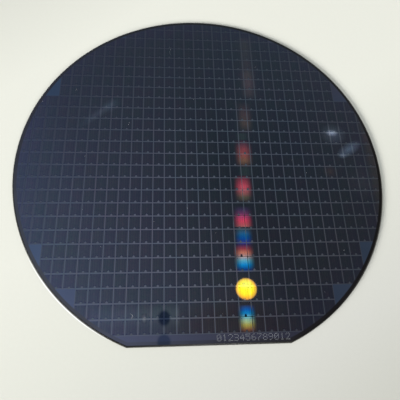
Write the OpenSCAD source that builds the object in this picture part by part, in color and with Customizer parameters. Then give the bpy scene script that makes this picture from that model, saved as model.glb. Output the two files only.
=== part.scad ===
// Silicon wafer with one flat, a rounded edge and a printed grid of dies.
// The back face lies on Z = 0, the disc's axis is Z and the flat faces -Y.

/* [Disc] */

// Diameter of the disc
wafer_d = 150; // [100:1:200]

// Thickness of the bare silicon
wafer_t = 0.675; // [0.525:0.005:1]

// Length of the flat, from corner to corner
flat_len = 57.5; // [30:0.5:60]

/* [Edge profile] */

// Radius of the round nose at mid thickness
nose_r = 0.25; // [0.1:0.01:0.26]

// Number of straight bands that make up the nose
nose_bands = 3; // [1:1:9]

// Angle between each bevel and the face it starts from
bevel_angle = 22; // [15:1:35]

/* [Dies] */

// Step from one die to the next along X
die_pitch_x = 4.474; // [3:0.001:9]

// Step from one die to the next along Y
die_pitch_y = 5.408; // [3:0.001:9]

// Width of a street between two dies, where it opens at the dies' top
street_w = 0.27; // [0.05:0.01:0.8]

// Height of the dies' top above the bare silicon
film_h = 0.02; // [0.01:0.001:0.03]

// Height of the film that is left along the middle of a street
street_film_h = 0.004; // [0.002:0.001:0.008]

/* [Exposure map] */

// Dies along X in one exposed field
field_dies_x = 3; // [1:1:5]

// Dies along Y in one exposed field
field_dies_y = 3; // [1:1:5]

// Place of the middle column's centre along X
map_shift_x = -0.34; // [-6:0.01:6]

// Place of the boundary between the two middle rows along Y
map_shift_y = -0.81; // [-6:0.01:6]

// A field is exposed if its inner corner lies at least this far in from the edge
field_reach = 7.2; // [2:0.1:15]

// Width of the ring inside the edge that has no dies
edge_exclusion = 1.5; // [0.9:0.1:5]

/* [Hidden] */

$fn = 180;
wafer_r = wafer_d / 2;
print_r = wafer_r - edge_exclusion;

// Distance of the flat from the disc's axis
flat_y = sqrt(pow(wafer_r, 2) - pow(flat_len / 2, 2));

// How far in from the nose the bevel leaves the face, where it is tangent to the nose
nose_angle = 90 - bevel_angle;
nose_in = nose_r * (1 - cos(nose_angle));
nose_up = nose_r * sin(nose_angle);
bevel_in = nose_in + (wafer_t / 2 - nose_up) / tan(bevel_angle);

// Exposure map: size of one field, and the most fields from the centre to the edge
field_w = field_dies_x * die_pitch_x;
field_h = field_dies_y * die_pitch_y;
fields_x = ceil(wafer_r / field_w);
fields_y = ceil(wafer_r / field_h);

// How far a point lies in from the disc's edge, flat included
function depth(x, y) = min(wafer_r - norm([x, y]), y + flat_y);

// The value nearest to zero between low and high
function nearest(low, high) = low > 0 ? low : high < 0 ? high : 0;

// True if the field with its low corner at p reaches far enough in
function is_exposed(p) =
    depth(nearest(p[0], p[0] + field_w), nearest(p[1], p[1] + field_h)) >= field_reach;

// Places between -reach and reach that lie whole steps from start
function places(start, step, reach) = [
    for (k = [ceil((-reach - start) / step) : floor((reach - start) / step)]) start + k * step
];

// Low corners of the exposed fields
exposed = [
    for (i = [-fields_x : fields_x], j = [-fields_y : fields_y - 1])
        let (p = [map_shift_x + (i - 0.5) * field_w, map_shift_y + j * field_h])
        if (is_exposed(p)) p
];

// Section of the disc, from start out to the nose at reach
module edge_section(start, reach) {
    nose = [
        for (k = [0 : nose_bands])
            let (a = nose_angle * (2 * k / nose_bands - 1))
            [reach - nose_r * (1 - cos(a)), wafer_t / 2 + nose_r * sin(a)]
    ];
    polygon(concat(
        [[start, 0], [reach - bevel_in, 0]],
        nose,
        [[reach - bevel_in, wafer_t], [start, wafer_t]]
    ));
}

// Bare silicon: a disc and a plate with the same edge, which meet at the flat's corners
module blank() {
    intersection() {
        rotate_extrude() edge_section(0, wafer_r);
        rotate([90, 0, -90])
            linear_extrude(height = wafer_d, center = true)
                edge_section(-wafer_r, flat_y);
    }
}

// Film over the exposed fields, kept clear of the edge, with its foot sunk into the silicon
module film() {
    translate([0, 0, wafer_t - film_h])
        linear_extrude(height = 2 * film_h)
            intersection() {
                circle(print_r);
                translate([-wafer_r, edge_exclusion - flat_y]) square([wafer_d, wafer_d]);
                for (p = exposed) translate(p) square([field_w, field_h]);
            }
}

// Groove of V section along X, a street wide at the film's top, with its tip at street_film_h
module groove() {
    rise = film_h - street_film_h;
    rotate([90, 0, 90])
        linear_extrude(height = wafer_d, center = true)
            polygon([
                [0, street_film_h],
                [street_w, street_film_h + 2 * rise],
                [-street_w, street_film_h + 2 * rise]
            ]);
}

// Streets that part the film into dies
module streets() {
    translate([0, 0, wafer_t]) {
        for (y = places(map_shift_y, die_pitch_y, print_r))
            translate([0, y, 0]) groove();
        for (x = places(map_shift_x + field_w / 2, die_pitch_x, print_r))
            translate([x, 0, 0]) rotate([0, 0, 90]) groove();
    }
}

module wafer() {
    color([0.16, 0.19, 0.27])
        difference() {
            union() {
                blank();
                film();
            }
            streets();
        }
}

wafer();
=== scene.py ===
import math
import random

import bmesh
import bpy
from mathutils import Matrix, Vector


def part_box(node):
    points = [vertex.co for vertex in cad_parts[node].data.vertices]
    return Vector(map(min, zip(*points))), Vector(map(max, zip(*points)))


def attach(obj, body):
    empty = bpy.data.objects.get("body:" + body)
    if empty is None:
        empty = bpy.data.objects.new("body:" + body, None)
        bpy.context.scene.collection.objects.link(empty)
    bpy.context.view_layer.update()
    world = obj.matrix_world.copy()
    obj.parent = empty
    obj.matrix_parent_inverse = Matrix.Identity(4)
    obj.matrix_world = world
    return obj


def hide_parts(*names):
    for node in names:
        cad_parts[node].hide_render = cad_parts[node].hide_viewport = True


# Silicon wafer with its die map, lying on a pale table.
# Sizes are in millimetres and turn into metres where a mesh, a lamp or the camera is made.

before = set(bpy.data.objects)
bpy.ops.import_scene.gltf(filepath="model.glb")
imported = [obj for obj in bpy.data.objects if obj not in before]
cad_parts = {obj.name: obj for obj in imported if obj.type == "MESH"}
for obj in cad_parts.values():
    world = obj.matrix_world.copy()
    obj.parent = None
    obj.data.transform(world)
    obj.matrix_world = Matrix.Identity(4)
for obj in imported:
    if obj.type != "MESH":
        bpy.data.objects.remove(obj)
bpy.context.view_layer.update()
mm = 0.001
waferLow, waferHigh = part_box("wafer")
waferRadius = min(waferHigh[0] - waferLow[0], 2 * waferHigh[1]) / 2 / mm
flatY = waferLow[1] / mm
waferTop = waferHigh[2] / mm
print("wafer", round(2 * waferRadius, 2), "mm across,", round(waferTop, 3), "mm high")

# sizes of the bare slice
blank = {
    "filmStack": 0.02,  # from bare silicon to the highest film
    "noseRadius": 0.25,
    "noseSteps": 14,
    "bevelAngle": 22,  # degrees
    "creaseAngle": 18,  # degrees, the least bend that shows as a crease
    "cornerRadius": 1.0,  # where the flat meets the rim
    "cornerSteps": 10,
    "rimSteps": 480,
    "exclusion": 1.5,  # ring without film
}
siliconTop = waferTop - blank["filmStack"]
printRadius = waferRadius - blank["exclusion"]
printLow = flatY + blank["exclusion"]

# heights of each layer's upper face
layers = {
    "polish": siliconTop + 0.002,
    "bareFilm": siliconTop + 0.004,
    "streetFilm": siliconTop + 0.006,
    "diePlate": siliconTop + 0.013,
    "sealRing": siliconTop + 0.014,
    "dieCells": siliconTop + 0.0145,
    "gatePad": siliconTop + 0.016,
    "laserDot": siliconTop + 0.0075,
    "dust": waferTop,
}

# where the dies lie
dieMap = {
    "pitchX": 4.474,
    "pitchY": 5.408,
    "street": 0.27,
    "shiftX": -0.34,
    "shiftY": -0.81,
    "fieldDies": 3,  # dies along each side of one exposed field
    "reach": 7.2,  # how far in a field's inner corner has to lie
}
fieldW = dieMap["fieldDies"] * dieMap["pitchX"]
fieldH = dieMap["fieldDies"] * dieMap["pitchY"]


def placeObject(name, data):
    item = bpy.data.objects.new(name, data)
    bpy.context.scene.collection.objects.link(item)
    return item


def newPiece(name, mesh, materials):
    piece = placeObject(name, mesh)
    for material in materials:
        mesh.materials.append(material)
    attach(piece, "root")
    return piece


def inMetres(sizes):
    return [size * mm for size in sizes]


def newStack():
    return {"points": [], "faces": [], "tint": []}


def addPlate(stack, outline, low, high, tint=0.0):
    # closed plate over an outline that runs anticlockwise
    start = len(stack["points"])
    count = len(outline)
    stack["points"] += [(x, y, low) for x, y in outline]
    stack["points"] += [(x, y, high) for x, y in outline]
    stack["faces"].append([start + k for k in reversed(range(count))])
    stack["faces"].append([start + count + k for k in range(count)])
    for k in range(count):
        after = (k + 1) % count
        stack["faces"].append([start + k, start + after, start + count + after, start + count + k])
    stack["tint"] += [tint] * (count + 2)


def stackPiece(name, stack, materials):
    mesh = bpy.data.meshes.new(name)
    points = [(x * mm, y * mm, z * mm) for x, y, z in stack["points"]]
    mesh.from_pydata(points, [], stack["faces"])
    tint = mesh.attributes.new("tint", "FLOAT", "FACE")
    tint.data.foreach_set("value", stack["tint"])
    mesh.update()
    return newPiece(name, mesh, materials)


def box2d(left, low, right, high):
    return [(left, low), (right, low), (right, high), (left, high)]


def oval2d(x, y, reachX, reachY, sides):
    turns = [math.tau * k / sides for k in range(sides)]
    return [(x + reachX * math.cos(a), y + reachY * math.sin(a)) for a in turns]


def cutLine(outline, nx, ny, reach):
    # keeps the part of an outline where nx * x + ny * y <= reach
    kept = []
    for k, (x, y) in enumerate(outline):
        px, py = outline[k - 1]
        here = nx * x + ny * y - reach
        before = nx * px + ny * py - reach
        if (here <= 0) != (before <= 0):
            part = before / (before - here)
            kept.append((px + (x - px) * part, py + (y - py) * part))
        if here <= 0:
            kept.append((x, y))
    return kept


def area2d(outline):
    return sum(
        outline[k - 1][0] * y - x * outline[k - 1][1] for k, (x, y) in enumerate(outline)
    ) / 2


chords = 720  # sides of the printed area's round edge
weld = 0.0001  # corners of the fields that are nearer than this become one


def cutToPrint(outline):
    # cuts an outline to the printed area
    outline = cutLine(outline, 0, -1, -printLow)
    if len(outline) < 3 or max(math.hypot(x, y) for x, y in outline) <= printRadius:
        return outline
    step = math.tau / chords
    middleX = sum(x for x, y in outline) / len(outline)
    middleY = sum(y for x, y in outline) / len(outline)
    middle = math.atan2(middleY, middleX)
    spread = max(
        abs(math.remainder(math.atan2(y, x) - middle, math.tau)) for x, y in outline
    )
    first = math.floor((middle - spread) / step) - 1
    last = math.ceil((middle + spread) / step) + 1
    for k in range(first, last + 1):
        angle = (k + 0.5) * step
        outline = cutLine(
            outline, math.cos(angle), math.sin(angle), printRadius * math.cos(step / 2)
        )
        if len(outline) < 3:
            return []
    return outline


def edgeDepth(x, y):
    return min(waferRadius - math.hypot(x, y), y - flatY)


def nearestZero(low, high):
    return low if low > 0 else high if high < 0 else 0


def exposedFields():
    across = math.ceil(waferRadius / fieldW)
    up = math.ceil(waferRadius / fieldH)
    fields = []
    for i in range(-across, across + 1):
        for j in range(-up, up):
            x = dieMap["shiftX"] + (i - 0.5) * fieldW
            y = dieMap["shiftY"] + j * fieldH
            inner = edgeDepth(nearestZero(x, x + fieldW), nearestZero(y, y + fieldH))
            if inner >= dieMap["reach"]:
                fields.append((x, y))
    return fields


fields = exposedFields()
dieCentres = [
    (x + (a + 0.5) * dieMap["pitchX"], y + (b + 0.5) * dieMap["pitchY"])
    for x, y in fields
    for a in range(dieMap["fieldDies"])
    for b in range(dieMap["fieldDies"])
]
print("die map:", len(fields), "fields,", len(dieCentres), "places for dies")

nothing = (0.0, 0.0, 0.0)
white = (1.0, 1.0, 1.0)
noiseRange = (0.3, 0.7)  # where nearly all of a noise's values lie


def grey(level):
    return (level, level, level)


def greyStops(*levels):
    return [(place, grey(level)) for place, level in levels]


def newMaterial(name):
    material = bpy.data.materials.new(name)
    material.use_nodes = True
    return material, material.node_tree


def setStops(ramp, stops):
    elements = ramp.color_ramp.elements
    elements[0].position, elements[0].color = stops[0][0], (*stops[0][1], 1)
    elements[1].position, elements[1].color = stops[-1][0], (*stops[-1][1], 1)
    for place, tone in stops[1:-1]:
        elements.new(place).color = (*tone, 1)


def addRamp(tree, value, stops):
    ramp = tree.nodes.new("ShaderNodeValToRGB")
    setStops(ramp, stops)
    tree.links.new(value, ramp.inputs["Fac"])
    return ramp.outputs["Color"]


def addMath(tree, kind, first, second):
    # second may be a number or another node's value
    node = tree.nodes.new("ShaderNodeMath")
    node.operation = kind
    tree.links.new(first, node.inputs[0])
    if isinstance(second, (int, float)):
        node.inputs[1].default_value = second
    else:
        tree.links.new(second, node.inputs[1])
    return node.outputs["Value"]


def addVector(tree, kind, first, second, out="Vector"):
    node = tree.nodes.new("ShaderNodeVectorMath")
    node.operation = kind
    tree.links.new(first, node.inputs[0])
    node.inputs[1].default_value = second
    return node.outputs[out]


def addSpan(tree, value, low, high, fromLow, fromHigh, soft=False):
    # turns fromLow .. fromHigh into low .. high
    span = tree.nodes.new("ShaderNodeMapRange")
    span.interpolation_type = "SMOOTHSTEP" if soft else "LINEAR"
    span.inputs["From Min"].default_value = fromLow
    span.inputs["From Max"].default_value = fromHigh
    span.inputs["To Min"].default_value = low
    span.inputs["To Max"].default_value = high
    tree.links.new(value, span.inputs["Value"])
    return span.outputs["Result"]


def mixTones(tree, kind, factor, first, second):
    mix = tree.nodes.new("ShaderNodeMix")
    mix.data_type = "RGBA"
    mix.blend_type = kind
    # the node's sockets for colours, which share their names with those for other types
    factorSocket, firstSocket, secondSocket = mix.inputs[0], mix.inputs[6], mix.inputs[7]
    if isinstance(factor, (int, float)):
        factorSocket.default_value = factor
    else:
        tree.links.new(factor, factorSocket)
    tree.links.new(first, firstSocket)
    tree.links.new(second, secondSocket)
    return mix.outputs[2]


def ownCoords(tree):
    return tree.nodes.new("ShaderNodeTexCoord").outputs["Object"]


def addNoise(tree, grain, detail=3.0):
    # noise in the piece's own coordinates; grain is the size of a patch
    noise = tree.nodes.new("ShaderNodeTexNoise")
    noise.inputs["Scale"].default_value = 1 / (grain * mm)
    noise.inputs["Detail"].default_value = detail
    tree.links.new(ownCoords(tree), noise.inputs["Vector"])
    return noise.outputs["Fac"]


def ovalShare(tree, centre, reach):
    # 0 at the centre and 1 along an oval with these half widths
    off = addVector(tree, "SUBTRACT", ownCoords(tree), Vector((*centre, 0)) * mm)
    part = addVector(tree, "MULTIPLY", off, (1 / (reach[0] * mm), 1 / (reach[1] * mm), 0))
    return addVector(tree, "LENGTH", part, (0, 0, 0), "Value")


def addFalloff(tree, ground, falloff):
    # tones change with the distance from a centre
    share = ovalShare(tree, falloff["centre"], falloff["reach"])
    return mixTones(tree, "MULTIPLY", 1.0, ground, addRamp(tree, share, falloff["tones"]))


def newFinish(name, look):
    # one finish: tones and roughness by noise, and where the look has them
    # each die's own tint, a falloff from a centre and a fine bump
    material, tree = newMaterial(name)
    shader = tree.nodes["Principled BSDF"]
    shader.inputs["Metallic"].default_value = look["metallic"]
    ground = addRamp(tree, addNoise(tree, look["grain"]), look["tones"])
    if "hues" in look:
        tint = tree.nodes.new("ShaderNodeAttribute")
        tint.attribute_name = "tint"
        hues = addRamp(tree, tint.outputs["Fac"], look["hues"])
        ground = mixTones(tree, "MIX", look["hueShare"], ground, hues)
    for falloff in look.get("falloffs", []):
        ground = addFalloff(tree, ground, falloff)
    tree.links.new(ground, shader.inputs["Base Color"])
    rough = addSpan(tree, addNoise(tree, look["roughGrain"]), *look["rough"], *noiseRange)
    tree.links.new(rough, shader.inputs["Roughness"])
    if "bump" in look:
        bump = tree.nodes.new("ShaderNodeBump")
        pits = look["bump"]
        bump.inputs["Strength"].default_value = pits["strength"]
        bump.inputs["Distance"].default_value = pits["height"] * mm
        tree.links.new(addNoise(tree, pits["grain"], pits["detail"]), bump.inputs["Height"])
        tree.links.new(bump.outputs["Normal"], shader.inputs["Normal"])
    return material


view = {
    "place": (-15.745, -69.889, 144.309),
    "aim": (-3.385, -13.553, 0.0),
    "roll": 11.585,  # degrees, lifts the camera's right side
    "lens": 35.157,
    "sensor": 36,
    "shift": (0.0099, -0.0121),
    "near": 5,
    "far": 20000,
}


def makeCamera():
    data = bpy.data.cameras.new("tableCamera")
    camera = placeObject("tableCamera", data)
    place = Vector(view["place"]) * mm
    ahead = (Vector(view["aim"]) * mm - place).normalized()
    level = ahead.cross(Vector((0, 0, 1))).normalized()
    upright = level.cross(ahead)
    roll = math.radians(view["roll"])
    right = level * math.cos(roll) + upright * math.sin(roll)
    up = right.cross(ahead)
    turn = Matrix((right, up, -ahead)).transposed().to_4x4()
    camera.matrix_world = Matrix.Translation(place) @ turn
    data.sensor_width = view["sensor"]
    data.lens = view["lens"]
    data.shift_x, data.shift_y = view["shift"]
    data.clip_start = view["near"] * mm
    data.clip_end = view["far"] * mm
    bpy.context.scene.camera = camera


makeCamera()
print("camera placed")

polished = {"metallic": 1.0, "rough": (0.015, 0.025)}  # the bare face and all the films
# painted light: the ring is lightest towards the lower left, on the window's side, and darker
# across the wafer
ringPaintedLight = {
    "centre": (-53, -53), "reach": (150, 150),
    "tones": [
        (0.0, white), (0.3, grey(0.93)), (0.4, (0.76, 0.74, 0.72)), (0.55, (0.86, 0.84, 0.84)),
        (0.72, (0.84, 0.84, 0.86)), (0.9, (0.66, 0.66, 0.62)), (1.0, (0.60, 0.60, 0.56)),
    ],
}
ringDark = {
    "centre": (75, -36), "reach": (60, 60),
    "tones": [(0.6, (0.66, 0.62, 0.58)), (0.8, (0.76, 0.72, 0.68)), (1.0, white)],
}
ringBlue = {
    "centre": (-10, -69), "reach": (42, 12),
    "tones": [(0.6, (1.22, 1.28, 1.5)), (1.0, white)],
}
# painted light: the ground edge is lighter on the right
edgePaintedLight = {
    "centre": (80, 20), "reach": (55, 90),
    "tones": [(0.5, (2.2, 2.2, 2.1)), (1.0, white)],
}
cornerDark = {
    "centre": (36, -68), "reach": (30, 30),
    "tones": [(0.4, (0.45, 0.45, 0.42)), (1.0, white)],
}
# painted shade: the ground edge is darker towards the lower left
edgePaintedShade = {
    "centre": (-55, -50), "reach": (56, 56),
    "tones": greyStops((0.5, 0.30), (1.0, 1.0)),
}
sliceLooks = {
    "ring": {
        "tones": [(0.3, (0.056, 0.058, 0.073)), (0.7, (0.064, 0.066, 0.082))],
        "grain": 6,
        **polished,
        "roughGrain": 3,
        "falloffs": [ringPaintedLight, ringDark, ringBlue],
    },
    "edge": {
        "tones": [(0.3, (0.036, 0.035, 0.034)), (0.7, (0.048, 0.047, 0.045))],
        "grain": 0.8,
        "metallic": 1.0, "rough": (0.26, 0.34),
        "roughGrain": 1.2,
        "falloffs": [edgePaintedShade, edgePaintedLight, cornerDark],
    },
    "back": {
        "tones": [(0.3, (0.27, 0.28, 0.30)), (0.7, (0.36, 0.37, 0.385))],
        "grain": 2.5,
        "metallic": 1.0, "rough": (0.34, 0.46),
        "roughGrain": 1.5,
        "bump": {"strength": 0.4, "height": 0.006, "grain": 0.15, "detail": 5},
    },
}


def rimOutline(inset):
    # the slice's outline moved in by inset, anticlockwise from the flat's right corner
    corner = blank["cornerRadius"]
    cornerY = flatY + corner
    cornerX = math.sqrt((waferRadius - corner) ** 2 - cornerY**2)
    start = math.atan2(cornerY, cornerX)
    bend = blank["cornerSteps"]
    down = -math.pi / 2

    def arc(x, y, radius, first, last, steps):
        angles = [first + (last - first) * k / steps for k in range(steps + 1)]
        return [(x + radius * math.cos(a), y + radius * math.sin(a)) for a in angles]

    right = arc(cornerX, cornerY, corner - inset, down, start, bend)[:-1]
    rim = arc(0, 0, waferRadius - inset, start, math.pi - start, blank["rimSteps"])
    left = arc(-cornerX, cornerY, corner - inset, math.pi - start, math.pi - down, bend)[1:]
    return right + rim + left


# the edge's profile: a round nose, and a bevel that leaves each face bevelIn inside the rim
noseRadius = blank["noseRadius"]
bevel = math.radians(blank["bevelAngle"])
noseAngle = math.pi / 2 - bevel
noseMiddle = siliconTop / 2
noseIn = noseRadius * (1 - math.cos(noseAngle))
bevelIn = noseIn + (noseMiddle - noseRadius * math.sin(noseAngle)) / math.tan(bevel)


def makeSlice():
    rings = [(bevelIn, 0)]
    for k in range(blank["noseSteps"] + 1):
        angle = noseAngle * (2 * k / blank["noseSteps"] - 1)
        inset = noseRadius * (1 - math.cos(angle))
        rings.append((inset, noseMiddle + noseRadius * math.sin(angle)))
    rings.append((bevelIn, siliconTop))
    points = []
    for inset, height in rings:
        points += [(x * mm, y * mm, height * mm) for x, y in rimOutline(inset)]
    count = len(points) // len(rings)
    faces = [list(reversed(range(count)))]
    for ring in range(len(rings) - 1):
        low, high = ring * count, (ring + 1) * count
        for k in range(count):
            after = (k + 1) % count
            faces.append([low + k, low + after, high + after, high + k])
    faces.append([(len(rings) - 1) * count + k for k in range(count)])
    mesh = bpy.data.meshes.new("waferSlice")
    mesh.from_pydata(points, [], faces)
    # finishes: 0 on the front face, 1 around the edge and 2 on the back face
    last = len(faces) - 1
    mesh.polygons.foreach_set("material_index", [2] + [1] * (last - 1) + [0])
    mesh.polygons.foreach_set("use_smooth", [0 < k < last for k in range(last + 1)])
    mesh.update()
    mesh.set_sharp_from_angle(angle=math.radians(blank["creaseAngle"]))
    edge = newFinish("groundEdge", sliceLooks["edge"])
    back = newFinish("etchedBack", sliceLooks["back"])
    piece = newPiece("waferSlice", mesh, [bareSilicon, edge, back])
    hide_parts("wafer")
    return piece


def makePolish():
    # the slice's polished front face as its own thin plate, which shows around the films
    stack = newStack()
    addPlate(stack, rimOutline(bevelIn), siliconTop, layers["polish"])
    return stackPiece("polishedFace", stack, [bareSilicon])


bareSilicon = newFinish("bareSiliconRing", sliceLooks["ring"])
waferSlice = makeSlice()
makePolish()
print("slice built")

# painted light: the streets' film is lightest near a place by the middle and darkens outwards
streetPaintedGlow = {
    "centre": (16, -22), "reach": (100, 100),
    "tones": greyStops(
        *((0.0, 0.90), (0.2, 0.87), (0.33, 0.76), (0.42, 0.64), (0.5, 0.55)),
        *((0.58, 0.48), (0.67, 0.42), (0.78, 0.345), (0.9, 0.285), (1.0, 0.265)),
    ),
}
# the streets are a little lighter towards the far edge
streetBright = {
    "centre": (8, 62), "reach": (75, 75),
    "tones": greyStops((0.0, 1.24), (0.6, 1.14), (1.0, 1.0)),
}
bareBlue = {
    "centre": (-68, 30), "reach": (85, 125),
    "tones": [
        (0.1, (0.74, 1.04, 1.11)), (0.45, (0.76, 0.99, 1.07)), (0.63, (0.93, 1.07, 1.15)),
        (0.92, (1.0, 1.0, 1.03)),
    ],
}
bareRight = {
    "centre": (75, -25), "reach": (58, 66),
    "tones": [(0.7, (1.08, 1.42, 1.52)), (1.0, white)],
}
streetLeft = {
    "centre": (-82, 0), "reach": (27, 70),
    "tones": [(0.4, (0.58, 0.62, 0.66)), (1.0, white)],
}
padDark = {
    "centre": (0, -68), "reach": (60, 18),
    "tones": greyStops((0.2, 0.70), (1.0, 1.0)),
}
# painted shade: the streets are dark where the coloured images lie on the dies beside them
paintedShadeTones = greyStops((0.6, 0.28), (1.0, 1.0))
streetPaintedShade = [
    {"centre": (13.7, -60.8), "reach": (3.8, 4.6), "tones": paintedShadeTones},
    {"centre": (14.1, -39.6), "reach": (4.4, 4.6), "tones": paintedShadeTones},
    {"centre": (14.6, -23.6), "reach": (4.6, 3.4), "tones": paintedShadeTones},
]
filmLooks = {
    "bare": {
        "tones": [(0.32, (0.073, 0.081, 0.130)), (0.68, (0.083, 0.090, 0.144))],
        "grain": 14,
        **polished,
        "roughGrain": 5,
        "falloffs": [bareBlue, bareRight],
    },
    "street": {
        "tones": [(0.36, (0.217, 0.272, 0.366)), (0.64, (0.264, 0.270, 0.368))],
        "grain": 9,
        **polished,
        "roughGrain": 2,
        "falloffs": [streetPaintedGlow, streetBright, streetLeft, *streetPaintedShade],
    },
}


def makeBareFilm():
    # the printed area's whole film, which shows where no field is exposed
    ring = oval2d(0, 0, printRadius, printRadius, chords)
    stack = newStack()
    addPlate(stack, cutLine(ring, 0, -1, -printLow), siliconTop, layers["bareFilm"])
    return stackPiece("bareFilm", stack, [newFinish("bareFilmBlue", filmLooks["bare"])])


def makeStreetFilm():
    # one sheet under the dies: the fields' outlines welded, then given a thickness
    build = bmesh.new()
    for x, y in fields:
        outline = cutToPrint(box2d(x, y, x + fieldW, y + fieldH))
        if len(outline) > 2:
            build.faces.new([build.verts.new((px, py, layers["bareFilm"])) for px, py in outline])
    bmesh.ops.remove_doubles(build, verts=build.verts, dist=weld)
    for face in build.faces:
        if face.normal.z > 0:
            face.normal_flip()
    base = list(build.faces)
    grown = bmesh.ops.extrude_face_region(build, geom=base, use_keep_orig=True)
    rise = layers["streetFilm"] - layers["bareFilm"]
    for item in grown["geom"]:
        if isinstance(item, bmesh.types.BMVert):
            item.co.z += rise
    bmesh.ops.recalc_face_normals(build, faces=build.faces)
    bmesh.ops.scale(build, vec=(mm, mm, mm), verts=build.verts)
    build.verts.index_update()
    # sorted, because the extrusion leaves the faces in a new order in each run
    faces = sorted([corner.index for corner in face.verts] for face in build.faces)
    mesh = bpy.data.meshes.new("streetFilm")
    mesh.from_pydata([corner.co[:] for corner in build.verts], [], faces)
    mesh.update()
    build.free()
    return newPiece("streetFilm", mesh, [newFinish("streetGrey", filmLooks["street"])])


bareFilm = makeBareFilm()
streetFilm = makeStreetFilm()
print("films laid")

die = {
    "seed": 7,
    "barPitch": 0.38,
    "barWidths": (0.29, 0.19, 0.31, 0.21, 0.31, 0.27, 0.21, 0.27, 0.17, 0.27),
    "cellTop": 2.28,  # above and below the die's centre
    "cellCorner": 0.3,  # how much shorter the outer bars are
    "padWidth": 0.8,
    "padEave": 0.5,  # above the die's lower side
    "padTop": 0.92,
    "padClear": 0.1,  # between the bars and the pad
    "sealWidth": 0.2,  # the ring along the die's border
    "sealFade": (15, 55),  # along Y, where the ring's sides along X lose their lighter tone
    "least": 0.02,  # smaller clipped pieces are left out
}
rimTint = {
    "centre": (0, 0), "reach": (75, 75),
    "tones": [(0.84, white), (1.0, (1.08, 1.0, 1.12))],
}
rightTint = {
    "centre": (-12, -2), "reach": (86, 160),
    "tones": [(0.945, white), (0.985, (1.55, 1.30, 0.98))],
}
brownTint = {
    "centre": (9, -66), "reach": (27, 13),
    "tones": [(0.55, (0.98, 0.80, 0.74)), (1.0, white)],
}
dieTints = [rimTint, rightTint, brownTint]
dieLooks = {
    "plate": {
        "tones": [(0.3, (0.026, 0.036, 0.074)), (0.7, (0.032, 0.040, 0.079))],
        "grain": 7,
        **polished,
        "roughGrain": 4,
        "hues": [(0.0, (0.028, 0.040, 0.076)), (1.0, (0.032, 0.037, 0.079))],
        "hueShare": 0.4,
        "falloffs": dieTints,
    },
    "cells": {
        "tones": [
            (0.32, (0.046, 0.062, 0.081)), (0.44, (0.061, 0.079, 0.098)),
            (0.56, (0.057, 0.064, 0.090)), (0.68, (0.076, 0.077, 0.100)),
        ],
        "grain": 1.2,
        **polished,
        "roughGrain": 3,
        "hues": [
            (0.0, (0.052, 0.073, 0.087)), (0.35, (0.064, 0.074, 0.088)),
            (0.65, (0.056, 0.065, 0.100)), (1.0, (0.069, 0.067, 0.094)),
        ],
        "hueShare": 0.4,
        "falloffs": dieTints,
    },
    "seal": {
        "tones": [(0.3, (0.060, 0.071, 0.099)), (0.7, (0.066, 0.076, 0.106))],
        "grain": 5,
        **polished,
        "roughGrain": 3,
        "hues": [(0.0, (0.063, 0.075, 0.104)), (1.0, (0.083, 0.101, 0.138))],
        "hueShare": 0.9,
        "falloffs": dieTints,
    },
    "pad": {
        "tones": [(0.36, (0.208, 0.249, 0.320)), (0.64, (0.226, 0.247, 0.327))],
        "grain": 8,
        **polished,
        "roughGrain": 1,
        "falloffs": [streetPaintedGlow, streetBright, padDark, *streetPaintedShade[:2]],
    },
}


def addCut(stack, outline, low, high, tint=0.0):
    kept = cutToPrint(outline)
    if len(kept) > 2 and area2d(kept) > die["least"]:
        addPlate(stack, kept, low, high, tint)


def addBars(stack, x, y, halfH, tint):
    # the upright bars of one die's cells, cut short where the gate pad stands
    top = die["cellTop"]
    last = len(die["barWidths"]) - 1
    for k, width in enumerate(die["barWidths"]):
        off = (k - last / 2) * die["barPitch"]
        outer = die["cellCorner"] if k in (0, last) else 0
        low = outer - top
        if abs(off) < die["padWidth"] / 2 + die["padClear"]:
            low = die["padTop"] + die["padClear"] - halfH
        left = x + off - width / 2
        bar = box2d(left, y + low, left + width, y + top - outer)
        addCut(stack, bar, layers["diePlate"], layers["dieCells"], tint)


def addSeal(stack, x, y, halfW, halfH):
    # the ring along one die's border, open where the gate pad stands
    width = die["sealWidth"]
    padSide = die["padWidth"] / 2
    low, high = layers["diePlate"], layers["sealRing"]
    begin, end = die["sealFade"]
    lighter = min(max((end - y) / (end - begin), 0), 1)
    for side in (-1, 1):
        outer, inner = sorted((x + side * halfW, x + side * (halfW - width)))
        addCut(stack, box2d(outer, y - halfH, inner, y + halfH), low, high)
        first, second = sorted((x + side * padSide, x + side * (halfW - width)))
        foot = box2d(first, y - halfH, second, y - halfH + width)
        addCut(stack, foot, low, high, lighter)
    head = box2d(x - halfW + width, y + halfH - width, x + halfW - width, y + halfH)
    addCut(stack, head, low, high, lighter)


def padOutline(x, foot):
    half = die["padWidth"] / 2
    eave, top = foot + die["padEave"], foot + die["padTop"]
    return [(x - half, foot), (x + half, foot), (x + half, eave), (x, top), (x - half, eave)]


def makeDies():
    random.seed(die["seed"])
    plates, seals, cells, pads = newStack(), newStack(), newStack(), newStack()
    halfW = (dieMap["pitchX"] - dieMap["street"]) / 2
    halfH = (dieMap["pitchY"] - dieMap["street"]) / 2
    for x, y in dieCentres:
        tint = random.random()
        plate = box2d(x - halfW, y - halfH, x + halfW, y + halfH)
        addCut(plates, plate, layers["streetFilm"], layers["diePlate"], tint)
        addSeal(seals, x, y, halfW, halfH)
        addBars(cells, x, y, halfH, tint)
        addCut(pads, padOutline(x, y - halfH), layers["diePlate"], layers["gatePad"], tint)
    print("dies:", len(plates["tint"]), "plate faces,", len(cells["tint"]), "bar faces")
    return (
        stackPiece("diePlates", plates, [newFinish("dieNavy", dieLooks["plate"])]),
        stackPiece("sealRings", seals, [newFinish("sealRingFilm", dieLooks["seal"])]),
        stackPiece("dieCellBars", cells, [newFinish("cellBarFilm", dieLooks["cells"])]),
        stackPiece("gatePads", pads, [newFinish("padGrey", dieLooks["pad"])]),
    )


diePlates, sealRings, dieCellBars, gatePads = makeDies()

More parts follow.
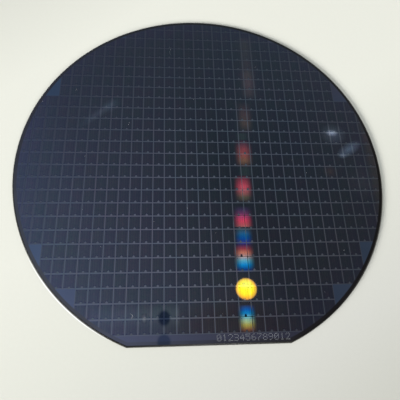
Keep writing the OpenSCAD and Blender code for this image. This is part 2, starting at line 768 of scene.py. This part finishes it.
marks = {
    "text": "0123456789012",
    "left": 2.45,
    "low": -68.08,
    "pitch": 2.04,
    "dotPitch": 0.33,
    "dot": 0.24,
    "sides": 8,
}
dotRows = {  # five columns by seven rows, top row first
    "0": "01110 10001 10011 10101 11001 10001 01110",
    "1": "00100 01100 00100 00100 00100 00100 01110",
    "2": "01110 10001 00001 00010 00100 01000 11111",
    "3": "11110 00001 00001 01110 00001 00001 11110",
    "4": "00010 00110 01010 10010 11111 00010 00010",
    "5": "11111 10000 11110 00001 00001 10001 01110",
    "6": "00110 01000 10000 11110 10001 10001 01110",
    "7": "11111 00001 00010 00100 01000 01000 01000",
    "8": "01110 10001 10001 01110 10001 10001 01110",
    "9": "01110 10001 10001 01111 00001 00010 01100",
}
markLook = {
    "tones": [(0.3, (0.16, 0.165, 0.18)), (0.7, (0.22, 0.225, 0.24))],
    "grain": 1,
    "metallic": 0.3, "rough": (0.35, 0.5),
    "roughGrain": 0.6,
}


def litDots(line):
    return [column for column, lit in enumerate(line) if lit == "1"]


def makeMarks():
    stack = newStack()
    reach = marks["dot"] / 2
    for place, sign in enumerate(marks["text"]):
        for row, line in enumerate(reversed(dotRows[sign].split())):
            y = marks["low"] + row * marks["dotPitch"]
            for column in litDots(line):
                x = marks["left"] + place * marks["pitch"] + column * marks["dotPitch"]
                dot = oval2d(x, y, reach, reach, marks["sides"])
                addPlate(stack, dot, siliconTop, layers["laserDot"])
    return stackPiece("laserMarks", stack, [newFinish("laserDots", markLook)])


laserMarks = makeMarks()
print("marks set")

dust = {
    "seed": 21,
    "specks": [  # x, y and size
        (-53.8, 34.9, 0.28), (-67.2, 28.7, 0.24), (5.1, -11.3, 0.27), (3.7, -29.3, 0.15),
        (-43.4, -38.9, 0.24), (-39.3, -34.3, 0.2), (-0.2, -53.8, 0.28), (42.8, -3.8, 0.24),
        (53.2, -36.6, 0.25), (43.3, -52.2, 0.16), (25.7, 49.5, 0.22), (-11.8, 15.5, 0.23),
        (-3.4, 31.2, 0.22), (26.3, 10.3, 0.2), (-47.8, 3.0, 0.22), (-7.0, -19.3, 0.25),
        (-19.9, -24.7, 0.26), (-47.0, -19.7, 0.18), (0.5, -47.2, 0.11), (37.2, 2.0, 0.18),
        (4.7, -59.1, 0.16),
    ],
    "fibres": [  # points along each hair
        [(-27.65, -58.38), (-26.77, -59.14), (-27.41, -59.83)],
        [(-13.80, 59.70), (-13.15, 58.90), (-13.50, 56.60), (-13.15, 54.74)],
        [(-30.60, 19.20), (-30.71, 18.51), (-31.11, 17.82), (-31.33, 17.14)],
    ],
    "fibreWidths": (0.07, 0.03, 0.035),
    "sides": 7,
    "uneven": (0.65, 1.2),  # shares of a speck's size
    "stray": (-0.2, 0.2),  # shares of the turn from one corner to the next
}
dustLook = {
    "tones": [(0.3, (0.20, 0.20, 0.21)), (0.7, (0.32, 0.32, 0.33))],
    "grain": 0.4,
    "metallic": 0.0, "rough": (0.7, 0.9),
    "roughGrain": 0.5,
}


def speckOutline(x, y, size):
    sides = dust["sides"]
    outline = []
    for k in range(sides):
        reach = size / 2 * random.uniform(*dust["uneven"])
        angle = math.tau * (k + random.uniform(*dust["stray"])) / sides
        outline.append((x + reach * math.cos(angle), y + reach * math.sin(angle)))
    return outline


def fibreParts(points, width):
    # a thin hair as short plates from point to point
    parts = []
    for (x, y), (nextX, nextY) in zip(points, points[1:]):
        length = math.hypot(nextX - x, nextY - y)
        sideX = -(nextY - y) / length * width / 2
        sideY = (nextX - x) / length * width / 2
        right = [(x - sideX, y - sideY), (nextX - sideX, nextY - sideY)]
        left = [(nextX + sideX, nextY + sideY), (x + sideX, y + sideY)]
        parts.append(right + left)
    return parts


def makeDust():
    random.seed(dust["seed"])
    low = layers["gatePad"]
    specks = newStack()
    for x, y, size in dust["specks"]:
        addPlate(specks, speckOutline(x, y, size), low, layers["dust"])
    for points, width in zip(dust["fibres"], dust["fibreWidths"]):
        for outline in fibreParts(points, width):
            addPlate(specks, outline, low, layers["dust"])
    return stackPiece("dustSpecks", specks, [newFinish("paleDust", dustLook)])


dustSpecks = makeDust()
print("dust scattered")

table = {
    "half": 1600,
    "cuts": 8,
    "drop": 0.02,  # below the wafer's back, so that the two faces stay apart
    # the table's own tone, with painted shade that darkens it towards the lower right
    "fade": {
        "along": (0.5, -0.866),
        "ends": (0, 120),
        "tones": [
            (0.0, (0.605, 0.603, 0.542)), (0.33, (0.558, 0.558, 0.501)),
            (0.67, (0.496, 0.493, 0.455)), (1.0, (0.408, 0.406, 0.363)),
        ],
    },
    # painted shadow: the table darkens towards the upper left corner
    "paintedCornerShadow": {
        "along": (-0.643, 0.766),
        "ends": (80, 140),
        "tones": greyStops((0.0, 1.0), (1.0, 0.83)),
    },
    "grain": 1.2,
    "grainDetail": 4,
    "grainTones": greyStops((0.3, 0.985), (0.7, 1.0)),
    "rough": 0.85,
    "sheen": 0.2,
}
# painted shade: the dark line where the wafer's edge meets the table, and the table under the wafer
paintedContactShade = {
    "dark": 0.08,
    "ends": (0.16, 0.35),  # outside the wafer's outline
}
# painted light: the table's material glows in a thin line where the wafer's edge throws light
paintedThrownLight = {
    "rise": (0.02, 0.3),  # outside the wafer's outline
    "fall": (0.5, 0.8),
    "towards": 226,  # degrees
    "spread": (0.955, 0.995),  # cosines where it starts and is full
    "tone": (0.66, 0.69, 0.76),
    "strength": 0.5,
}


def beyondOutline(tree, coords):
    # how far a place on the table lies outside the wafer's outline
    split = tree.nodes.new("ShaderNodeSeparateXYZ")
    tree.links.new(coords, split.inputs[0])
    fromMiddle = addVector(tree, "DISTANCE", coords, (0, 0, 0), "Value")
    beyondRim = addMath(tree, "SUBTRACT", fromMiddle, waferRadius * mm)
    beyondFlat = addMath(tree, "MULTIPLY", split.outputs["Y"], -1)
    beyondFlat = addMath(tree, "ADD", beyondFlat, flatY * mm)
    return addMath(tree, "MAXIMUM", beyondRim, beyondFlat)


def addPaintedThrownLight(tree, coords, beyond):
    # how much the table glows at each place: painted light for what the wafer's edge throws
    rise = addSpan(tree, beyond, 0, 1, *inMetres(paintedThrownLight["rise"]), soft=True)
    fall = addSpan(tree, beyond, 1, 0, *inMetres(paintedThrownLight["fall"]), soft=True)
    angle = math.radians(paintedThrownLight["towards"])
    heading = addVector(tree, "NORMALIZE", coords, (0, 0, 0))
    facing = addVector(
        tree, "DOT_PRODUCT", heading, (math.cos(angle), math.sin(angle), 0), "Value"
    )
    light = addMath(tree, "MULTIPLY", rise, fall)
    light = addMath(tree, "MULTIPLY", light, addSpan(tree, facing, 0, 1, *paintedThrownLight["spread"]))
    return addMath(tree, "MULTIPLY", light, paintedThrownLight["strength"])


def makeTable():
    half = table["half"] * mm
    cuts = table["cuts"]
    row = cuts + 1
    steps = [half * (2 * k / cuts - 1) for k in range(row)]
    points = [(x, y, -table["drop"] * mm) for y in steps for x in steps]
    faces = [
        [j * row + i, j * row + i + 1, (j + 1) * row + i + 1, (j + 1) * row + i]
        for j in range(cuts)
        for i in range(cuts)
    ]
    mesh = bpy.data.meshes.new("tableTop")
    mesh.from_pydata(points, [], faces)
    material, tree = newMaterial("paleTable")
    shader = tree.nodes["Principled BSDF"]
    shader.inputs["Roughness"].default_value = table["rough"]
    shader.inputs["Specular IOR Level"].default_value = table["sheen"]
    coords = ownCoords(tree)

    def toneAlong(fade):
        along = addVector(tree, "DOT_PRODUCT", coords, (*fade["along"], 0), "Value")
        return addRamp(tree, addSpan(tree, along, 0, 1, *inMetres(fade["ends"])), fade["tones"])

    # the table's tone, with painted shade towards the lower right
    ground = toneAlong(table["fade"])
    # painted shadow towards the upper left corner
    ground = mixTones(tree, "MULTIPLY", 1.0, ground, toneAlong(table["paintedCornerShadow"]))
    grain = addRamp(tree, addNoise(tree, table["grain"], table["grainDetail"]), table["grainTones"])
    ground = mixTones(tree, "MULTIPLY", 1.0, ground, grain)
    beyond = beyondOutline(tree, coords)
    # painted shade under the wafer and in a thin line along its outline
    shade = addSpan(tree, beyond, paintedContactShade["dark"], 1, *inMetres(paintedContactShade["ends"]), soft=True)
    # painted light: the table glows along part of the wafer's outline
    shader.inputs["Emission Color"].default_value = (*paintedThrownLight["tone"], 1)
    ground = mixTones(tree, "MULTIPLY", 1.0, ground, shade)
    tree.links.new(ground, shader.inputs["Base Color"])
    light = addPaintedThrownLight(tree, coords, beyond)
    tree.links.new(light, shader.inputs["Emission Strength"])
    mesh.materials.append(material)
    top = placeObject("tableTop", mesh)
    return top


# the room as the wafer mirrors it: tones run from the window's side to the far side,
# in three bands across that way
room = {
    "away": (0.91, 0.41, 0.0),
    "across": (-0.41, 0.91, 0.0),
    "bands": (0.05, 0.3, 0.7),
    "low": [
        (0.00, grey(0.30)), (0.24, (0.50, 0.52, 0.54)), (0.34, (1.31, 1.41, 1.51)),
        (0.42, (1.03, 1.08, 1.13)), (0.50, (0.73, 0.765, 0.78)), (0.58, (0.51, 0.495, 0.475)),
        (0.66, (0.32, 0.31, 0.30)), (0.82, (0.33, 0.335, 0.295)), (0.90, (0.55, 0.55, 0.52)),
        (1.00, (0.90, 0.90, 0.86)),
    ],
    "near": [
        (0.00, grey(0.30)), (0.24, (0.50, 0.52, 0.54)), (0.34, (1.085, 1.22, 1.275)),
        (0.42, (0.86, 0.94, 0.99)), (0.50, (0.68, 0.66, 0.72)), (0.58, (0.47, 0.47, 0.49)),
        (0.66, (0.27, 0.31, 0.30)), (0.74, (0.32, 0.345, 0.36)), (0.82, (0.47, 0.47, 0.44)),
        (0.90, (0.60, 0.60, 0.57)), (1.00, (0.90, 0.90, 0.86)),
    ],
    "far": [
        (0.00, grey(0.30)), (0.24, (0.50, 0.52, 0.56)), (0.34, (0.89, 0.98, 1.22)),
        (0.42, (0.68, 0.75, 0.91)), (0.50, (0.49, 0.54, 0.595)), (0.58, (0.46, 0.50, 0.52)),
        (0.66, (0.46, 0.49, 0.51)), (0.74, (0.49, 0.57, 0.55)), (0.82, (0.59, 0.64, 0.59)),
        (0.90, (0.65, 0.68, 0.65)), (1.00, (0.90, 0.90, 0.86)),
    ],
    "backdrop": (0.93, 0.93, 0.90),
}


def makeRoom():
    world = bpy.data.worlds.new("room")
    bpy.context.scene.world = world
    world.use_nodes = True
    tree = world.node_tree
    nodes, links = tree.nodes, tree.links
    coords = nodes.new("ShaderNodeTexCoord").outputs["Generated"]
    away = addVector(tree, "DOT_PRODUCT", coords, room["away"], "Value")
    away = addSpan(tree, away, 0, 1, -1, 1)
    across = addVector(tree, "DOT_PRODUCT", coords, room["across"], "Value")
    first, second, third = room["bands"]
    tones = addRamp(tree, away, room["low"])
    near = addRamp(tree, away, room["near"])
    far = addRamp(tree, away, room["far"])
    tones = mixTones(tree, "MIX", addSpan(tree, across, 0, 1, first, second), tones, near)
    tones = mixTones(tree, "MIX", addSpan(tree, across, 0, 1, second, third), tones, far)
    walls = nodes["Background"]
    links.new(tones, walls.inputs["Color"])
    backdrop = nodes.new("ShaderNodeBackground")
    backdrop.inputs["Color"].default_value = (*room["backdrop"], 1)
    rays = nodes.new("ShaderNodeLightPath")
    choose = nodes.new("ShaderNodeMixShader")
    links.new(rays.outputs["Is Camera Ray"], choose.inputs["Fac"])
    links.new(walls.outputs["Background"], choose.inputs[1])
    links.new(backdrop.outputs["Background"], choose.inputs[2])
    links.new(choose.outputs["Shader"], nodes["World Output"].inputs["Surface"])


def newLamp(name, place, size, radiance, colour=white):
    # radiance is what a ray that meets the lamp brings back
    data = bpy.data.lights.new(name, "AREA")
    data.shape = "RECTANGLE"
    data.size, data.size_y = inMetres(size)
    data.energy = radiance * math.pi * data.size * data.size_y
    data.color = colour
    lamp = placeObject(name, data)
    lamp.location = Vector(place) * mm
    lamp.visible_camera = False
    return lamp


def linkTo(lamp, layer):
    name, receivers = layer
    group = bpy.data.collections.get(name) or bpy.data.collections.new(name)
    for piece in receivers:
        if piece.name not in group.objects:
            group.objects.link(piece)
    lamp.light_linking.receiver_collection = group


# two low openings that light the table and the wafer's edge: heading and elevation in degrees
daylight = {"away": 6100, "colour": (1.0, 0.99, 0.97)}
windows = {
    "windowLight": {"heading": 210, "elevation": 13.1, "size": (5200, 1320), "radiance": 60},
    "sideLight": {"heading": 290, "elevation": 15, "size": (3000, 1080), "radiance": 18},
}


def makeWindow(name, look, layer):
    heading, elevation = math.radians(look["heading"]), math.radians(look["elevation"])
    away = daylight["away"]
    level = away * math.cos(elevation)
    place = (level * math.cos(heading), level * math.sin(heading), away * math.sin(elevation))
    lamp = newLamp(name, place, look["size"], look["radiance"], daylight["colour"])
    lamp.rotation_euler = (-lamp.location).to_track_quat("-Z", "Y").to_euler()
    linkTo(lamp, layer)


tableTop = makeTable()
makeRoom()
# the polished face and its films are left out: they would mirror a window as a white patch
windowLayer = ("windowLayer", [tableTop, waferSlice, laserMarks, dustSpecks])
for name, look in windows.items():
    makeWindow(name, look, windowLayer)
print("table, room and windows set")

# lamps far above the wafer, each seen only as its image in the films
ceilingHeight = 431  # above the wafer's top


def mirrored(x, y, height):
    # where a thing stands at this height to show at x, y on the wafer, and how much larger
    # it is than its image
    eyeX, eyeY, eyeZ = view["place"]
    scale = 1 + height / (eyeZ - waferTop)
    place = (x * scale - eyeX * (scale - 1), y * scale - eyeY * (scale - 1), waferTop + height)
    return place, scale


dieLayer = ("dieLayer", [diePlates, sealRings, dieCellBars])
filmLayer = ("filmLayer", [bareFilm, streetFilm, gatePads])

# a lamp's own coordinates run from 0 to 1 along each side
lampMiddle = 0.5
fadeStart = 0.04  # how far from its middle line a long lamp starts to fade


def hangLamp(name, at, size, radiance, layer):
    x, y, lift = at
    place, scale = mirrored(x, y, ceilingHeight + lift)
    lamp = newLamp(name, place, [side * scale for side in size], radiance)
    linkTo(lamp, layer)
    lamp.data.use_nodes = True
    return lamp


def shadeRound(lamp, tones):
    # tones run from the lamp's middle to its edge
    tree = lamp.data.node_tree
    place = tree.nodes.new("ShaderNodeNewGeometry").outputs["Parametric"]
    reach = addVector(tree, "DISTANCE", place, (lampMiddle, lampMiddle, 0), "Value")
    share = addSpan(tree, reach, 0, 1, 0, lampMiddle)
    tree.links.new(addRamp(tree, share, tones), tree.nodes["Emission"].inputs["Color"])


def shadeAlong(lamp, tones):
    # tones run along the lamp's length and fade towards both of its long sides
    tree = lamp.data.node_tree
    place = tree.nodes.new("ShaderNodeNewGeometry").outputs["Parametric"]
    split = tree.nodes.new("ShaderNodeSeparateXYZ")
    tree.links.new(place, split.inputs[0])
    off = addMath(tree, "SUBTRACT", split.outputs["X"], lampMiddle)
    off = addMath(tree, "ABSOLUTE", off, 0)
    fade = addSpan(tree, off, 1, 0, fadeStart, lampMiddle, soft=True)
    emission = tree.nodes["Emission"]
    tree.links.new(addRamp(tree, split.outputs["Y"], tones), emission.inputs["Color"])
    tree.links.new(fade, emission.inputs["Strength"])


glow = {"full": 0.01, "half": 0.45}  # shares of the way out to the edge


def softTones(colour):
    half = tuple(part / 2 for part in colour)
    return [(0.0, colour), (glow["full"], colour), (glow["half"], half), (1.0, nothing)]


# round images: place and size on the wafer, radiance in the dies, share of it in the other films;
# the place's third value lifts a lamp off the plane of those that it overlaps
glints = {
    "roundLamp": {
        "at": (13.95, -50.55, 0), "size": (8.0, 8.0),
        "radiance": 21, "share": 0.25,
        "tones": [
            (0.0, (0.99, 0.42, 0.0)), (0.60, (0.99, 0.42, 0.0)), (0.74, (0.967, 0.41, 0.0)),
            (0.84, (0.857, 0.37, 0.010)), (0.93, (0.595, 0.25, 0.020)), (1.0, nothing),
        ],
    },
    "roundCore": {
        "at": (13.8, -50.2, 4), "size": (7.4, 7.4),
        "radiance": 8.2, "share": 0.25,
        "tones": [
            (0.0, (0.0, 1.0, 0.0)), (0.5, (0.0, 0.93, 0.0)), (0.72, (0.0, 0.62, 0.0)),
            (0.88, (0.0, 0.15, 0.0)), (1.0, nothing),
        ],
    },
    "roundBlue": {
        "at": (14.0, -48.7, 8), "size": (6.6, 4.6),
        "radiance": 1.5, "share": 0.25,
        "tones": softTones((0.0, 0.1, 1.0)),
    },
    "glintRight": {
        "at": (56.6, 15.3, 0), "size": (5.8, 3.6),
        "radiance": 2.7, "share": 0.75,
        "tones": softTones((1.0, 0.98, 0.90)),
    },
    "haloRight": {
        "at": (57.0, 14.6, 4), "size": (12, 11),
        "radiance": 0.62, "share": 0.9,
        "tones": softTones((0.95, 1.0, 0.95)),
    },
    "cloudRight": {
        "at": (63.0, 7.4, 0), "size": (14, 5.8),
        "turn": 33,
        "radiance": 1.12, "share": 0.65,
        "tones": softTones((0.78, 1.0, 1.0)),
    },
    "cloudFoot": {
        "at": (59.7, 4.4, 4), "size": (3.8, 3.2),
        "radiance": 0.75, "share": 0.9,
        "tones": softTones((1.0, 0.97, 0.92)),
    },
    "cloudTip": {
        "at": (-39.0, 27.2, 4), "size": (10, 6.5),
        "turn": 42,
        "radiance": 0.30, "share": 1.0,
        "tones": softTones((0.75, 1.0, 0.98)),
    },
    "cloudLeft": {
        "at": (-44.0, 23.0, 0), "size": (21, 4.2),
        "turn": 42,
        "radiance": 0.30, "share": 0.85,
        "tones": softTones((0.9, 1.0, 0.98)),
    },
    "glintLow": {
        "at": (-22.9, -60.1, 0), "size": (1.8, 3.4),
        "radiance": 1.6, "share": 0.35,
        "tones": softTones((1.0, 0.92, 0.62)),
    },
    "brownRight": {
        "at": (53.0, -3.2, 0), "size": (7, 7),
        "radiance": 0.3, "share": 0.2,
        "tones": softTones((1.0, 0.45, 0.10)),
    },
    "glowRight": {
        "at": (66, -8, 0), "size": (16, 16),
        "radiance": 0.13, "share": 0.8,
        "tones": softTones((1.0, 0.80, 0.65)),
    },
}
# the phone's pale back, seen above the flat
phoneBack = {
    "at": (-26.0, -59.3, 0), "size": (9.5, 31),
    "turn": 90,
    "radiance": 0.36, "share": 0.5,
    "tones": [
        (0.0, (0.95, 1.0, 0.72)), (0.04, (0.95, 1.0, 0.72)), (0.5, (0.62, 0.74, 0.56)),
        (1.0, (0.25, 0.40, 0.40)),
    ],
}


def hangPair(name, look, shade):
    # one lamp for the dies, and one for the other films with a share of its radiance
    for layer, share in ((dieLayer, 1.0), (filmLayer, look["share"])):
        radiance = look["radiance"] * share
        lamp = hangLamp(name + layer[0], look["at"], look["size"], radiance, layer)
        lamp.rotation_euler.z = math.radians(look.get("turn", 0))
        shade(lamp, look["tones"])


# the dies' grating spreads the round lamp into a row of coloured images
orderRadiance = 10
orders = {  # x, low end, high end and width on the wafer, and tones from low to high
    "orderBelow": ((13.5, -66.2, -55.6, 6.9), [
        (0.06, nothing), (0.15, (0.30, 0.11, 0.01)), (0.30, (0.67, 0.60, 0.06)),
        (0.42, (0.58, 0.90, 0.35)), (0.54, (0.22, 0.68, 0.58)), (0.66, (0.0, 0.39, 0.70)),
        (0.78, (0.0, 0.15, 0.52)), (0.95, nothing),
    ]),
    "orderFirst": ((14.05, -45.0, -33.9, 8.3), [
        (0.04, nothing), (0.15, (0.0, 0.045, 0.20)), (0.30, (0.0, 0.33, 0.59)),
        (0.44, (0.15, 0.54, 0.51)), (0.55, (0.60, 0.44, 0.31)), (0.63, (0.82, 0.29, 0.16)),
        (0.71, (0.96, 0.22, 0.09)), (0.84, (0.48, 0.03, 0.03)), (0.98, (0.05, 0.0, 0.06)),
    ]),
    "orderSecondBlue": ((14.4, -35.6, -27.0, 7.8), [
        (0.0, nothing), (0.2, (0.03, 0.01, 0.12)), (0.45, (0.0, 0.065, 0.27)),
        (0.68, (0.01, 0.13, 0.23)), (0.88, (0.02, 0.07, 0.06)), (1.0, nothing),
    ]),
    "orderSecondRed": ((14.65, -28.9, -18.4, 8.3), [
        (0.0, nothing), (0.08, (0.22, 0.11, 0.06)), (0.14, (0.42, 0.17, 0.09)),
        (0.20, (0.66, 0.13, 0.08)), (0.28, (0.80, 0.08, 0.07)), (0.42, (1.02, 0.05, 0.08)),
        (0.57, (0.70, 0.045, 0.11)), (0.70, (0.21, 0.03, 0.08)), (0.85, (0.05, 0.015, 0.05)),
        (1.0, nothing),
    ]),
    "orderThird": ((15.75, -17.0, -5.2, 8.0), [
        (0.0, nothing), (0.20, (0.12, 0.08, 0.025)), (0.40, (0.52, 0.10, 0.07)),
        (0.57, (0.86, 0.07, 0.08)), (0.78, (0.42, 0.03, 0.04)), (1.0, nothing),
    ]),
    "orderFourth": ((17.0, -1.4, 11.4, 8.2), [
        (0.0, nothing), (0.22, (0.22, 0.085, 0.025)), (0.42, (0.345, 0.065, 0.03)),
        (0.64, (0.29, 0.04, 0.03)), (0.84, (0.10, 0.02, 0.02)), (1.0, nothing),
    ]),
    "orderFifth": ((18.7, 14.5, 30.5, 7.8), [
        (0.0, nothing), (0.3, (0.075, 0.037, 0.015)), (0.6, (0.064, 0.024, 0.015)),
        (1.0, nothing),
    ]),
    "orderSixth": ((21.6, 31.0, 67.0, 8.6), [
        (0.0, nothing), (0.10, (0.036, 0.022, 0.012)), (0.25, (0.062, 0.033, 0.022)),
        (0.40, (0.048, 0.027, 0.017)), (0.50, (0.018, 0.012, 0.007)),
        (0.95, (0.017, 0.012, 0.005)), (1.0, nothing),
    ]),
    "orderGreen": ((17.0, -18.0, 30.0, 7.6), [
        (0.0, nothing), (0.15, (0.012, 0.022, 0.010)), (0.85, (0.012, 0.022, 0.010)),
        (1.0, nothing),
    ]),
}


def makeOrders():
    for name, ((x, low, high, width), tones) in orders.items():
        at, size = (x, (low + high) / 2, 0), (width, high - low)
        shadeAlong(hangLamp(name, at, size, orderRadiance, dieLayer), tones)


# cards in the mirror: the camera's two lenses, dark, and above the lamps three that take
# the red out of the blue images; place and half widths on the wafer
cards = {
    "secondLens": {
        "at": (-15.9, -60.1), "height": 144, "reach": (2.9, 3.6),
        "tones": [
            (0.0, (0.20, 0.27, 0.38)), (0.6, (0.22, 0.29, 0.40)), (0.85, (0.50, 0.56, 0.58)),
        ],
        "clear": (0.5, 1.0),  # where it starts to show what lies behind, and is gone
    },
    "firstLens": {
        "at": (-16.0, -67.9), "height": 144, "reach": (3.1, 3.3),
        "tones": [
            (0.0, (0.33, 0.42, 0.52)), (0.6, (0.35, 0.44, 0.54)), (0.85, (0.60, 0.66, 0.68)),
        ],
        "clear": (0.6, 1.0),
    },
    "veilBelow": {"at": (13.6, -59.1), "height": 446, "reach": (3.6, 2.7)},
    "veilFirst": {"at": (14.1, -41.9), "height": 446, "reach": (4.2, 2.4)},
    "veilSecond": {"at": (14.4, -31.0), "height": 446, "reach": (3.8, 1.9)},
}
cardSides = 48
veilTones = [(0.5, (0.25, 0.95, 1.0)), (1.0, white)]


def makeCard(name, look):
    place, scale = mirrored(*look["at"], look["height"])
    width, height = [part * scale for part in look["reach"]]
    mesh = bpy.data.meshes.new(name)
    rim = [(x * mm, y * mm, 0) for x, y in oval2d(0, 0, width, height, cardSides)]
    mesh.from_pydata(rim, [], [list(range(cardSides))])
    material, tree = newMaterial(name)
    tree.nodes.clear()
    share = ovalShare(tree, (0, 0), (width, height))
    clear = tree.nodes.new("ShaderNodeBsdfTransparent")
    surface = clear.outputs["BSDF"]
    if "tones" in look:
        glass = tree.nodes.new("ShaderNodeEmission")
        tree.links.new(addRamp(tree, share, look["tones"]), glass.inputs["Color"])
        blend = tree.nodes.new("ShaderNodeMixShader")
        fade = addSpan(tree, share, 0, 1, *look["clear"], soft=True)
        tree.links.new(fade, blend.inputs["Fac"])
        tree.links.new(glass.outputs["Emission"], blend.inputs[1])
        tree.links.new(clear.outputs["BSDF"], blend.inputs[2])
        surface = blend.outputs["Shader"]
    else:
        tree.links.new(addRamp(tree, share, veilTones), clear.inputs["Color"])
    output = tree.nodes.new("ShaderNodeOutputMaterial")
    tree.links.new(surface, output.inputs["Surface"])
    mesh.materials.append(material)
    disc = placeObject(name, mesh)
    disc.location = Vector(place) * mm
    disc.visible_camera = False
    disc.visible_diffuse = False
    disc.visible_shadow = False


for name, look in glints.items():
    hangPair(name, look, shadeRound)
makeOrders()
hangPair("phoneBack", phoneBack, shadeAlong)
for name, look in cards.items():
    makeCard(name, look)
print("mirrored lamps and cards hung")

bpy.context.scene.view_settings.view_transform = "Standard"
